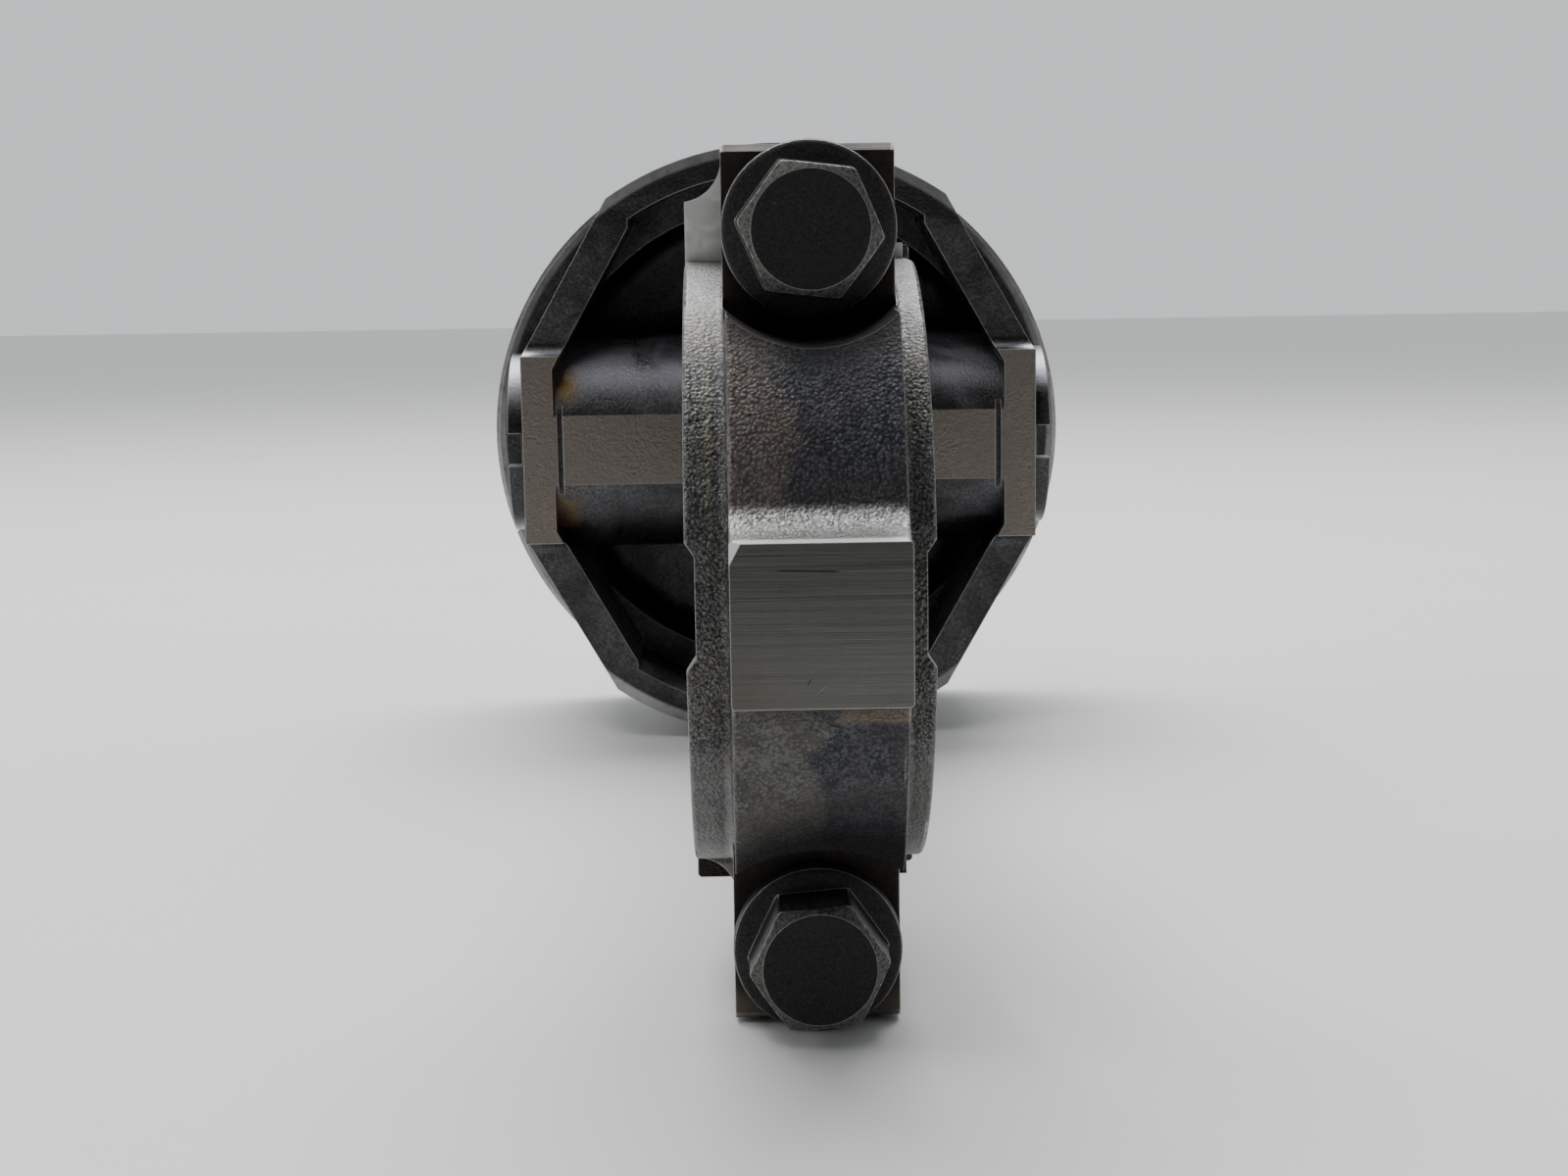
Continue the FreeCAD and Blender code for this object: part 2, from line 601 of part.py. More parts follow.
def make_piston():
    shell = piston_outer().cut(piston_hollow())
    inside = rod_along_y(LAND_R - 2, ROD_LENGTH - PANEL_DROP, ROD_LENGTH + CROWN_HEIGHT - 2)
    shape = fuse(shell, pin_bosses().common(inside), outer_pin_collars())
    for low, high in (TOP_GROOVE, SECOND_GROOVE, OIL_GROOVE):
        groove = rod_along_y(60, ROD_LENGTH + low, ROD_LENGTH + high)
        shape = shape.cut(groove.cut(rod_along_y(GROOVE_ROOT_R, 0, 300)))
    return cut_pin_bores(shape)


def end_gap(turn_deg, half_gap):
    slot = box(40, 60, ROD_LENGTH, ROD_LENGTH + CROWN_HEIGHT, -half_gap, half_gap)
    slot.rotate(FreeCAD.Vector(0, 0, 0), Y_AXIS, turn_deg)
    return slot


def make_compression_ring(groove, turn_deg):
    low = ROD_LENGTH + groove[0] + RING_SIDE_GAP
    high = ROD_LENGTH + groove[1] - RING_SIDE_GAP
    edge = 0.12
    ring = revolve_y([
        (RING_INNER_R, low), (CYLINDER_R - edge, low), (CYLINDER_R, low + edge),
        (CYLINDER_R, high - edge), (CYLINDER_R - edge, high), (RING_INNER_R, high)])
    return ring.cut(end_gap(turn_deg, 0.5 * RING_END_GAP))


def make_oil_rail(y0, turn_deg):
    outer = rod_along_y(CYLINDER_R, y0, y0 + RAIL_THICKNESS)
    rail = outer.cut(rod_along_y(RING_INNER_R, y0 - 1, y0 + 2))
    return rail.cut(end_gap(turn_deg, 0.5 * RING_END_GAP))


def make_expander(y0, y1):
    # Spacer band slotted from either edge by turns, so that it can spring round its circumference.
    band = rod_along_y(EXPANDER_OUTER_R, y0, y1).cut(rod_along_y(EXPANDER_INNER_R, y0 - 1, y1 + 1))
    depth = 0.68 * (y1 - y0)
    slots = []
    for step in range(EXPANDER_SLOTS):
        low = y0 - 1 if step % 2 else y1 - depth
        high = y0 + depth if step % 2 else y1 + 1
        slot = box(EXPANDER_INNER_R - 2, EXPANDER_OUTER_R + 2, low, high, -1.1, 1.1)
        slot.rotate(FreeCAD.Vector(0, 0, 0), Y_AXIS, 360.0 * step / EXPANDER_SLOTS)
        slots.append(slot)
    return band.cut(Part.makeCompound(slots))


def save(shape, name):
    shape.exportStep("parts/" + name + ".step")
    print(name, shape.isValid(), len(shape.Solids), round(shape.Volume, 1))


save(make_rod(), "connecting_rod")
save(make_cap(), "rod_cap")
save(make_shell(1), "rod_side_bearing_shell")
save(make_shell(-1), "cap_side_bearing_shell")
save(make_bolt(UPPER_HEX_TURN, BOLT_Z), "upper_cap_bolt")
save(make_bolt(LOWER_HEX_TURN, -BOLT_Z), "lower_cap_bolt")
save(make_dowel(BOLT_Z), "upper_ring_dowel")
save(make_dowel(-BOLT_Z), "lower_ring_dowel")
save(make_bush(), "small_end_bush")
save(make_pin(), "wrist_pin")
save(make_clip(-1), "left_pin_clip")
save(make_clip(1), "right_pin_clip")
save(make_piston(), "piston_body")
save(make_compression_ring(TOP_GROOVE, 60), "top_compression_ring")
save(make_compression_ring(SECOND_GROOVE, 240), "second_compression_ring")
rail_low_y = ROD_LENGTH + OIL_GROOVE[0] + RING_SIDE_GAP
rail_high_y = ROD_LENGTH + OIL_GROOVE[1] - RING_SIDE_GAP - RAIL_THICKNESS
save(make_oil_rail(rail_high_y, 20), "oil_ring_crown_side_rail")
save(make_expander(rail_low_y + RAIL_THICKNESS, rail_high_y), "oil_ring_expander")
save(make_oil_rail(rail_low_y, 160), "oil_ring_skirt_side_rail")
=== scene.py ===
import math

import bpy
from mathutils import Matrix, Vector


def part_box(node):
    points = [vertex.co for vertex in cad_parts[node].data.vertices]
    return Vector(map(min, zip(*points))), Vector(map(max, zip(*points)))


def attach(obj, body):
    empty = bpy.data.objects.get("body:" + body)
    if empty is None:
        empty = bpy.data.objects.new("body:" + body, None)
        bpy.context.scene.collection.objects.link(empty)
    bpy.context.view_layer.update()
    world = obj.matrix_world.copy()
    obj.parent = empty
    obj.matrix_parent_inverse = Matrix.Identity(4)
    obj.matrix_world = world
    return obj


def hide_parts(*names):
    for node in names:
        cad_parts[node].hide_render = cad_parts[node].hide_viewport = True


# Looks of a piston and connecting rod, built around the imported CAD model. Lengths are in metres
# unless a name ends in MM; materials work in millimetres in the part's own frame.

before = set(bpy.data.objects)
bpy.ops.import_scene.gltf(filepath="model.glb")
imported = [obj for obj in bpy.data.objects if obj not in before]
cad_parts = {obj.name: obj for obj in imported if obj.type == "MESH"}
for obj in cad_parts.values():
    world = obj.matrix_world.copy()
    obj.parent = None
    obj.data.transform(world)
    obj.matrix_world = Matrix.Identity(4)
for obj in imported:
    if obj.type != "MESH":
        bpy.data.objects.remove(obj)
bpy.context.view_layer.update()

# Camera, as a hand-held telephone would see the big end of a rod lying on a bench
CAMERA_PLACE = Vector((-0.00611, -0.2413, 0.0366))
CAMERA_PITCH = math.radians(-9.008)
CAMERA_YAW = math.radians(0.986)
CAMERA_ROLL = math.radians(-0.861)
CAMERA_LENS = 54.0
CAMERA_SENSOR = 36.0

# Stage
FLOOR_REACH = 4.0
FLOOR_COLOUR = (0.72, 0.72, 0.71)
WORLD_COLOUR = (0.80, 0.82, 0.84)
WORLD_STRENGTH = 0.95
CARD_COLOUR = (0.018, 0.018, 0.020)
CARD_HALF_WIDTH = 1.3

# Cap bolts
HEX_FLATS = 0.0120
HEX_HEIGHT = 0.0062
FLANGE_THICKNESS = 0.0031
HEX_FACE_R = 0.00555
SHANK_R = 0.0042
THREAD_START_Y = 0.0034
THREAD_PITCH = 0.001
THREAD_DEPTH = 0.00055
BOLT_SEGMENTS = 144
UPPER_HEX_TURN = math.radians(173.1)
LOWER_HEX_TURN = math.radians(184.6)

# Places on the part that materials refer to, in millimetres
THRUST_X_MM = 11.5
PAD_FACE_Y_MM = -41.0
BOLT_SEAT_Y_MM = -14.2
BOLT_X_MM = 0.6
SCALLOP_Z_MM = 35.3
HEAD_TOP_Y_MM = -23.5
BOSS_OUTER_Z_MM = 43.3
PIN_Y_MM = 150.0
CROWN_Y_MM = 181.0
FORGING_Z_MM = 1.4
RIB_LEFT_X_MM = -7.4
RIB_RIGHT_X_MM = 8.6
PAD_TOP_Z_MM = 8.72
PAD_LOW_Z_MM = -5.92


class Shader:
    """One material. Each method adds nodes and returns an output socket."""

    def __init__(self, name):
        self.material = bpy.data.materials.new(name)
        self.material.use_nodes = True
        self.tree = self.material.node_tree
        self.surface = self.tree.nodes["Principled BSDF"]
        coordinates = self.add("ShaderNodeTexCoord")
        self.normal = coordinates.outputs["Normal"]
        self.place = self.vector("SCALE", coordinates.outputs["Object"], scale=1000.0)
        self.x, self.y, self.z = self.split(self.place)

    def add(self, kind, **settings):
        node = self.tree.nodes.new(kind)
        for key, value in settings.items():
            setattr(node, key, value)
        return node

    def feed(self, socket, value):
        if isinstance(value, bpy.types.NodeSocket):
            self.tree.links.new(value, socket)
        elif isinstance(value, tuple) and len(value) == 3 and socket.type == "RGBA":
            socket.default_value = (*value, 1.0)
        else:
            socket.default_value = value

    def vector(self, operation, first, second=None, scale=None):
        node = self.add("ShaderNodeVectorMath", operation=operation)
        self.feed(node.inputs[0], first)
        if second is not None:
            self.feed(node.inputs[1], second)
        if scale is not None:
            self.feed(node.inputs["Scale"], scale)
        return node.outputs["Value"] if operation in ("DOT_PRODUCT", "LENGTH") else node.outputs["Vector"]

    def split(self, vector):
        node = self.add("ShaderNodeSeparateXYZ")
        self.feed(node.inputs[0], vector)
        return node.outputs[0], node.outputs[1], node.outputs[2]

    def math(self, operation, first, second=0.0):
        node = self.add("ShaderNodeMath", operation=operation)
        self.feed(node.inputs[0], first)
        self.feed(node.inputs[1], second)
        return node.outputs[0]

    def times(self, first, *others):
        for other in others:
            first = self.math("MULTIPLY", first, other)
        return first

    def plus(self, first, *others):
        for other in others:
            first = self.math("ADD", first, other)
        return first

    def greater(self, first, *others):
        for other in others:
            first = self.math("MAXIMUM", first, other)
        return first

    def inverse(self, value):
        return self.math("SUBTRACT", 1.0, value)

    def ramp(self, value, low, high):
        """0 below low and 1 above high, smooth between; low may be the larger, for the reverse."""
        node = self.add("ShaderNodeMapRange", interpolation_type="SMOOTHSTEP")
        self.feed(node.inputs["Value"], value)
        falling = low > high
        self.feed(node.inputs["From Min"], min(low, high))
        self.feed(node.inputs["From Max"], max(low, high))
        self.feed(node.inputs["To Min"], 1.0 if falling else 0.0)
        self.feed(node.inputs["To Max"], 0.0 if falling else 1.0)
        return node.outputs["Result"]

    def band(self, value, low, high, soft):
        """1 between low and high, 0 outside."""
        above = self.ramp(value, low - soft, low + soft)
        below = self.ramp(value, high + soft, high - soft)
        return self.times(above, below)

    def noise(self, per_mm, detail=4.0, rough=0.55, stretch=(1.0, 1.0, 1.0), warp=0.0):
        place = self.vector("MULTIPLY", self.place, stretch)
        node = self.add("ShaderNodeTexNoise")
        self.feed(node.inputs["Vector"], place)
        self.feed(node.inputs["Scale"], per_mm)
        self.feed(node.inputs["Detail"], detail)
        self.feed(node.inputs["Roughness"], rough)
        self.feed(node.inputs["Distortion"], warp)
        return node.outputs["Fac"]

    def dents(self, per_mm):
        node = self.add("ShaderNodeTexVoronoi", feature="SMOOTH_F1")
        self.feed(node.inputs["Vector"], self.place)
        self.feed(node.inputs["Scale"], per_mm)
        self.feed(node.inputs["Smoothness"], 0.5)
        return node.outputs["Distance"]

    def mix(self, share, first, second):
        node = self.add("ShaderNodeMix", data_type="RGBA")
        self.feed(node.inputs[0], share)
        self.feed(node.inputs[6], first)
        self.feed(node.inputs[7], second)
        return node.outputs[2]

    def blend(self, share, first, second):
        node = self.add("ShaderNodeMix", data_type="FLOAT")
        self.feed(node.inputs[0], share)
        self.feed(node.inputs[2], first)
        self.feed(node.inputs[3], second)
        return node.outputs[0]

    def facing(self, axis, low=0.90, high=0.98):
        """1 where the surface faces along that axis, either way."""
        along = self.math("ABSOLUTE", self.split(self.normal)[axis])
        return self.ramp(along, low, high)

    def open_air(self, reach_mm):
        """1 on open surfaces and convex edges, lower in corners and holes."""
        node = self.add("ShaderNodeAmbientOcclusion", samples=6)
        self.feed(node.inputs["Distance"], reach_mm / 1000.0)
        return node.outputs["AO"]

    def edges(self, radius_mm, begin=0.995, full=0.96):
        """The worn outer edges, and the normal that rounds them."""
        bevel = self.add("ShaderNodeBevel", samples=6)
        self.feed(bevel.inputs["Radius"], radius_mm / 1000.0)
        true_normal = self.add("ShaderNodeNewGeometry").outputs["Normal"]
        agree = self.vector("DOT_PRODUCT", bevel.outputs["Normal"], true_normal)
        turned = self.ramp(agree, begin, full)
        outer = self.ramp(self.open_air(4 * radius_mm), 0.62, 0.80)
        return self.times(turned, outer), bevel.outputs["Normal"]

    def bump(self, height, depth_mm, under=None):
        node = self.add("ShaderNodeBump")
        self.feed(node.inputs["Strength"], 1.0)
        self.feed(node.inputs["Distance"], depth_mm / 1000.0)
        self.feed(node.inputs["Height"], height)
        if under is not None:
            self.feed(node.inputs["Normal"], under)
        return node.outputs["Normal"]

    def finish(self, colour, roughness, metallic, normal=None):
        self.feed(self.surface.inputs["Base Color"], colour)
        self.feed(self.surface.inputs["Roughness"], roughness)
        self.feed(self.surface.inputs["Metallic"], metallic)
        if normal is not None:
            self.feed(self.surface.inputs["Normal"], normal)
        return self.material


def blasted_steel(s, dark, light, brown):
    """Shot-blasted forging: a finely pebbled grey skin with heat patches.

    Returns colour, roughness and height.
    """
    pebbles = s.dents(2.9)
    grit = s.noise(3.2, detail=5.0, rough=0.65, warp=1.0)
    cloud = s.noise(0.55, detail=5.0, rough=0.6)
    patch = s.ramp(s.noise(0.10, detail=3.0, warp=0.6), 0.44, 0.58)
    speckle = s.ramp(s.plus(s.times(grit, 0.55), s.times(pebbles, 0.30), s.times(cloud, 0.35)), 0.48, 0.68)
    skin = s.mix(speckle, light, dark)
    skin = s.mix(s.times(patch, 0.45), skin, brown)
    pits = s.ramp(s.noise(1.9, detail=5.0, rough=0.7), 0.64, 0.70)
    skin = s.mix(s.times(pits, 0.75), skin, (0.010, 0.010, 0.011))
    roughness = s.blend(grit, 0.30, 0.52)
    height = s.plus(s.times(pebbles, -0.8), s.times(grit, 0.6), s.times(pits, -0.6))
    return skin, roughness, height


def rib_tints(s, skin, rib, upper, sway, speckle_and_glints):
    """Heat colours of the rib: brown to the left, bluish to the right, and a tan strip under the pad."""
    brown_side = s.ramp(s.plus(s.x, sway, s.times(upper, 2.7)), 2.2, -0.6)
    warm = s.mix(upper, (0.112, 0.107, 0.088), (0.125, 0.098, 0.078))
    skin = s.mix(s.times(rib, brown_side, 0.45), skin, warm)
    skin = s.mix(s.times(rib, s.inverse(brown_side), 0.55), skin, (0.030, 0.031, 0.040))
    below_pad = s.band(s.z, PAD_LOW_Z_MM - 2.4, PAD_LOW_Z_MM, 0.4)
    tan = s.times(rib, below_pad, s.ramp(s.plus(s.x, sway), 1.0, 2.5))
    return s.mix(s.times(tan, s.blend(speckle_and_glints, 0.30, 0.70)), skin, (0.230, 0.180, 0.130))


def bolt_painted_shadow(s, rib, upper, sway, off_centre):
    """1 where painted shadow darkens the rib, close to the bolt heads."""
    aside = s.plus(s.x, -BOLT_X_MM)
    beyond = s.plus(off_centre, -SCALLOP_Z_MM)
    from_bolt = s.math("SQRT", s.plus(s.times(aside, aside), s.times(beyond, beyond)))
    slant = s.times(s.inverse(upper), s.x, -0.14)
    reach = s.plus(from_bolt, slant, s.times(upper, 3.4), s.times(sway, 0.12))
    return s.times(rib, s.ramp(reach, 19.6, 12.8))


def sweep_painted_highlight(s, skin, rib, speckle_and_glints):
    """The curve that runs up from the pad: a painted highlight, paler grey with bright pebbled glints along
    its crest.
    """
    above_pad = s.ramp(s.z, PAD_TOP_Z_MM - 1.0, PAD_TOP_Z_MM)
    sweep = s.times(rib, above_pad, s.ramp(s.y, -35.6, -36.4))
    crest = s.times(sweep, s.band(s.z, PAD_TOP_Z_MM + 0.9, PAD_TOP_Z_MM + 3.1, 0.7))
    # Painted highlight: the curve is made paler, and its crest glints bright.
    skin = s.mix(s.times(sweep, 0.65), skin, (0.270, 0.270, 0.262))
    return s.mix(s.times(crest, s.blend(speckle_and_glints, 0.05, 0.95)), skin, (0.80, 0.80, 0.78))


def rim_tints(s, skin, rims, far, speckle_and_glints):
    """The collar beside the rib: dark and flecked near the pad, paler towards its ends."""
    near = s.times(rims, s.inverse(far))
    fleck = s.ramp(s.noise(4.2, detail=4.0, rough=0.7, warp=0.8), 0.44, 0.58)
    skin = s.mix(s.times(near, s.blend(fleck, 0.55, 0.0)), skin, (0.018, 0.018, 0.017))
    skin = s.mix(s.times(near, fleck, 0.40), skin, (0.270, 0.270, 0.250))
    skin = s.mix(s.times(rims, far, 0.40), skin, (0.230, 0.230, 0.220))
    streak = s.times(s.band(s.x, -9.6, -9.0, 0.3), s.band(s.z, 5.0, 24.0, 3.0), speckle_and_glints)
    return s.mix(s.times(streak, 0.45), skin, (0.330, 0.310, 0.205))


def cap_tints(s, skin, height):
    """Everything that colours the cap's blasted skin, painted shadow and highlight among it. Returns colour,
    height and the painted shadow round the bolt heads.
    """
    sway = s.times(s.plus(s.noise(0.22, detail=4.0), -0.5), 9.0)
    speckle_and_glints = s.ramp(s.noise(2.9, detail=4.0, rough=0.7, warp=1.0), 0.45, 0.56)
    upper = s.ramp(s.z, 0.0, 2.0)
    rib = s.band(s.x, RIB_LEFT_X_MM, RIB_RIGHT_X_MM, 0.2)
    rims = s.inverse(rib)
    off_centre = s.math("ABSOLUTE", s.plus(s.z, -FORGING_Z_MM))
    far = s.ramp(s.plus(off_centre, s.times(upper, -7.0), s.times(sway, 0.4)), 11.5, 17.5)
    painted_shadow = bolt_painted_shadow(s, rib, upper, sway, off_centre)
    skin = rib_tints(s, skin, rib, upper, sway, speckle_and_glints)
    # Painted shadow: the rib is made near black close to the bolt heads.
    skin = s.mix(s.times(painted_shadow, 0.90), skin, (0.006, 0.006, 0.007))
    skin = sweep_painted_highlight(s, skin, rib, speckle_and_glints)
    skin = rim_tints(s, skin, rims, far, speckle_and_glints)
    height = s.times(height, s.inverse(s.times(rims, far, 0.45)))
    return skin, height, painted_shadow


def pad_marks(s, lines):
    """1 in the dark nick and tick on the pad, and 1 in its pale scratch."""
    nick_line = s.plus(s.z, s.times(s.x, 0.03))
    broken = s.ramp(lines, 0.30, 0.45)
    nick = s.times(s.band(nick_line, 6.18, 6.32, 0.05), s.band(s.x, -3.2, 2.0, 0.4), broken)
    tick_line = s.plus(s.z, s.times(s.x, -1.8))
    tick = s.times(s.band(tick_line, -2.52, -2.36, 0.06), s.band(s.x, -0.72, -0.42, 0.06))
    scratch_line = s.plus(s.z, s.times(s.x, -0.9))
    scratch = s.times(s.band(scratch_line, -4.70, -4.62, 0.05), s.band(s.x, 0.1, 0.9, 0.15))
    return s.greater(nick, tick), scratch


def pad_tone(s):
    """Milled balance pad: thin cutter lines across it, lighter towards its lower edge.

    Returns colour and the height of the lines.
    """
    lines = s.noise(1.0, detail=7.0, rough=0.85, stretch=(0.03, 1.0, 10.0))
    bands = s.noise(1.0, detail=4.0, rough=0.7, stretch=(0.012, 1.0, 2.2))
    lower = s.ramp(s.z, PAD_TOP_Z_MM, PAD_LOW_Z_MM)
    fine_share = s.times(s.ramp(lines, 0.36, 0.62), 0.42)
    wide_share = s.times(s.ramp(bands, 0.36, 0.62), 0.18)
    tone = s.plus(fine_share, wide_share, s.times(lower, 0.40))
    colour = s.mix(tone, (0.038, 0.038, 0.036), (0.160, 0.160, 0.146))
    warm = s.times(s.ramp(s.x, 2.0, -7.0), s.ramp(s.z, 2.0, -6.0), 0.35)
    colour = s.mix(warm, colour, (0.100, 0.078, 0.066))
    nicks, scratch = pad_marks(s, lines)
    colour = s.mix(s.times(nicks, 0.85), colour, (0.008, 0.008, 0.008))
    colour = s.mix(s.times(scratch, 0.45), colour, (0.30, 0.30, 0.28))
    return colour, lines


def pad_surround(s):
    """1 on the milled wall above the pad, painted near white as a highlight, and 1 on the small facet at its
    upper left corner.
    """
    pad_wall = s.times(s.facing(2, 0.965, 0.992), s.ramp(s.y, PAD_FACE_Y_MM + 3.6, PAD_FACE_Y_MM + 3.2))
    toward_facet = s.vector("DOT_PRODUCT", s.normal, (-0.825, -0.412, 0.383))
    facet = s.times(s.ramp(toward_facet, 0.97, 0.99), s.ramp(s.y, PAD_FACE_Y_MM + 3.2, PAD_FACE_Y_MM + 2.8))
    return pad_wall, facet


def cut_faces(s):
    """1 on the milled thrust faces, boss ends, boss sides and the rim of the bolt seats."""
    across = s.math("ABSOLUTE", s.x)
    aloft = s.math("ABSOLUTE", s.z)
    thrust = s.times(s.facing(0), s.ramp(across, THRUST_X_MM - 1.1, THRUST_X_MM - 0.9))
    flat_end = s.times(s.facing(2), s.ramp(aloft, BOSS_OUTER_Z_MM - 0.9, BOSS_OUTER_Z_MM - 0.5))
    boss_side = s.times(s.facing(0), s.ramp(aloft, 31.5, 32.5), s.band(s.y, -16.0, 19.0, 1.0))
    seat_edge = s.times(s.ramp(aloft, 42.4, 42.7), s.ramp(s.y, BOLT_SEAT_Y_MM + 1.0, BOLT_SEAT_Y_MM + 0.6))
    return s.greater(thrust, flat_end, boss_side, seat_edge)


def parting_faces(s):
    """1 on the smooth grey faces beside the parting plane, on the parting faces below the middle, which carry
    painted shadow, and on the lower left foot.
    """
    parting = s.times(s.facing(1), s.band(s.y, -0.1, 0.1, 0.05))
    shoulder = s.times(s.ramp(s.x, -7.6, -7.9), s.ramp(s.z, 31.5, 32.5), s.ramp(s.y, -0.2, -0.1))
    foot = s.times(s.ramp(s.x, -7.7, -8.0), s.ramp(s.z, -29.4, -30.0), s.band(s.y, -5.2, -0.2, 0.05))
    smooth_grey = s.greater(s.times(parting, s.ramp(s.z, -1.0, 1.0)), shoulder, foot)
    shadowed_parting = s.times(parting, s.ramp(s.z, 1.0, -1.0))
    return smooth_grey, shadowed_parting, foot


def cut_tone(s, lines, stain, pad_wall, facet, smooth_grey, foot):
    """Colour of everything that was cut, apart from the pad and the bolt seats."""
    tone = s.mix(s.ramp(lines, 0.30, 0.70), (0.22, 0.22, 0.215), (0.40, 0.395, 0.38))
    tone = s.mix(s.times(stain, 0.35), tone, (0.14, 0.13, 0.11))
    # Painted highlight: the milled wall above the pad is painted near white.
    tone = s.mix(pad_wall, tone, (0.88, 0.88, 0.85))
    tone = s.mix(facet, tone, (0.42, 0.42, 0.41))
    # Smooth grey faces: real stains, on a pale tone that is a painted highlight.
    mottled = s.mix(s.times(stain, 0.5), (0.800, 0.795, 0.780), (0.300, 0.297, 0.292))
    tone = s.mix(smooth_grey, tone, mottled)
    return s.mix(foot, tone, (0.260, 0.260, 0.245))


def seat_tone(s):
    """Colour of the bolt seats, brown with grime and paler at the lowest end; the lower parting faces take it
    as painted shadow.
    """
    tone = s.mix(s.noise(1.3, detail=5.0), (0.013, 0.011, 0.010), (0.048, 0.038, 0.032))
    return s.mix(s.ramp(s.z, -38.5, -42.5), tone, (0.135, 0.113, 0.094))


def steel_forging(name, shade, is_cap):
    """Rod or cap: blasted forging, with milled thrust faces, bolt seats, boss flats and balance pad."""
    s = Shader(name)
    worn, round_normal = s.edges(0.16)
    skin, skin_rough, skin_height = blasted_steel(
        s,
        tuple(shade * c for c in (0.034, 0.035, 0.040)),
        tuple(shade * c for c in (0.170, 0.171, 0.170)),
        tuple(shade * c for c in (0.098, 0.082, 0.072)))
    # On the cap, painted shadow round the bolt heads also hides the worn edges there.
    if is_cap:
        skin, skin_height, painted_shadow = cap_tints(s, skin, skin_height)
        worn = s.times(worn, s.inverse(painted_shadow))
    pad = s.times(s.facing(1), s.ramp(s.y, PAD_FACE_Y_MM + 0.10, PAD_FACE_Y_MM + 0.04))
    seat = s.times(s.facing(1), s.band(s.y, BOLT_SEAT_Y_MM - 0.1, BOLT_SEAT_Y_MM + 0.1, 0.05))
    pad_wall, facet = pad_surround(s)
    smooth_grey, shadowed_parting, foot = parting_faces(s)
    machined = s.greater(cut_faces(s), pad_wall, facet, smooth_grey)
    smooth = s.greater(machined, pad, seat)
    lines = s.noise(1.0, detail=5.0, rough=0.75, stretch=(0.06, 2.2, 7.0))
    stain = s.ramp(s.noise(0.25, detail=5.0, warp=0.8), 0.42, 0.66)
    pad_colour, pad_lines = pad_tone(s)

    colour = s.mix(machined, skin, cut_tone(s, lines, stain, pad_wall, facet, smooth_grey, foot))
    # The bolt seats take their own brown; the parting faces below the middle take it as painted shadow.
    colour = s.mix(s.greater(seat, shadowed_parting), colour, seat_tone(s))
    colour = s.mix(pad, colour, pad_colour)
    # Painted shade: darker in corners and holes, by ambient occlusion.
    colour = s.mix(s.times(s.inverse(s.open_air(2.5)), 0.65), colour, (0.012, 0.011, 0.010))
    colour = s.mix(s.times(worn, 0.70), colour, (0.62, 0.61, 0.58))
    roughness = s.blend(smooth, skin_rough, s.blend(stain, 0.30, 0.42))
    roughness = s.blend(worn, roughness, 0.30)
    # Less metallic on worn edges, the facet, the pad wall and the smooth grey faces; on the last two this
    # adds to their painted brightness.
    metallic = s.blend(s.greater(worn, pad_wall, facet, smooth_grey), 0.92, 0.35)
    if is_cap:
        # The painted shadow round the bolt heads is also made rough, unmetallic and dull.
        roughness = s.blend(painted_shadow, roughness, 0.85)
        metallic = s.times(metallic, s.inverse(painted_shadow))
        s.feed(s.surface.inputs["Specular IOR Level"], s.blend(painted_shadow, 0.5, 0.08))
    cut_lines = s.times(lines, machined, s.inverse(smooth_grey))
    rounded = s.bump(s.plus(cut_lines, s.times(pad_lines, pad)), 0.04, round_normal)
    normal = s.bump(s.times(skin_height, s.inverse(smooth)), 0.16, rounded)
    return s.finish(colour, roughness, metallic, normal)


def rubbed_head(s, colour, grit, chips):
    """The bolt head's wear: paler slants and sides, and a darker disc on top."""
    forward = s.math("ABSOLUTE", s.split(s.normal)[1])
    near_top = s.ramp(s.y, HEAD_TOP_Y_MM + 1.5, HEAD_TOP_Y_MM + 0.9)
    slant = s.times(s.band(forward, 0.82, 0.91, 0.02), near_top)
    face = s.times(s.ramp(forward, 0.96, 0.98), s.ramp(s.y, HEAD_TOP_Y_MM + 0.2, HEAD_TOP_Y_MM + 0.1))
    side = s.times(s.ramp(forward, 0.10, 0.03), s.ramp(s.y, -17.0, -17.6))
    drawn = s.noise(1.0, detail=5.0, rough=0.8, stretch=(5.0, 0.3, 5.0))
    grainy = s.blend(s.ramp(grit, 0.35, 0.60), 0.10, 0.70)
    colour = s.mix(s.times(slant, grainy), colour, (0.150, 0.148, 0.140))
    colour = s.mix(s.times(side, s.ramp(drawn, 0.35, 0.65), 0.65), colour, (0.150, 0.147, 0.140))
    return s.mix(s.times(face, s.inverse(chips), 0.35), colour, (0.009, 0.009, 0.009))


def black_oxide(name):
    """Bolt: blued black skin, speckled, rubbed bright on its corners and rims."""
    s = Shader(name)
    worn, round_normal = s.edges(0.28, 0.962, 0.915)
    grit = s.noise(3.5, detail=5.0, rough=0.7)
    chips = s.ramp(s.noise(3.2, detail=7.0, rough=0.8), 0.645, 0.69)
    blotch = s.ramp(s.noise(0.35, detail=4.0, warp=0.5), 0.40, 0.65)
    colour = s.mix(s.ramp(grit, 0.30, 0.72), (0.011, 0.011, 0.012), (0.040, 0.040, 0.040))
    colour = s.mix(s.times(blotch, 0.4), colour, (0.030, 0.027, 0.024))
    colour = s.mix(s.times(chips, 0.70), colour, (0.30, 0.29, 0.27))
    colour = rubbed_head(s, colour, grit, chips)
    colour = s.mix(s.times(worn, s.ramp(grit, 0.15, 0.40)), colour, (0.80, 0.79, 0.73))
    roughness = s.blend(worn, s.blend(grit, 0.34, 0.58), 0.28)
    normal = s.bump(grit, 0.10, round_normal)
    return s.finish(colour, roughness, s.blend(worn, 0.75, 0.25), normal)


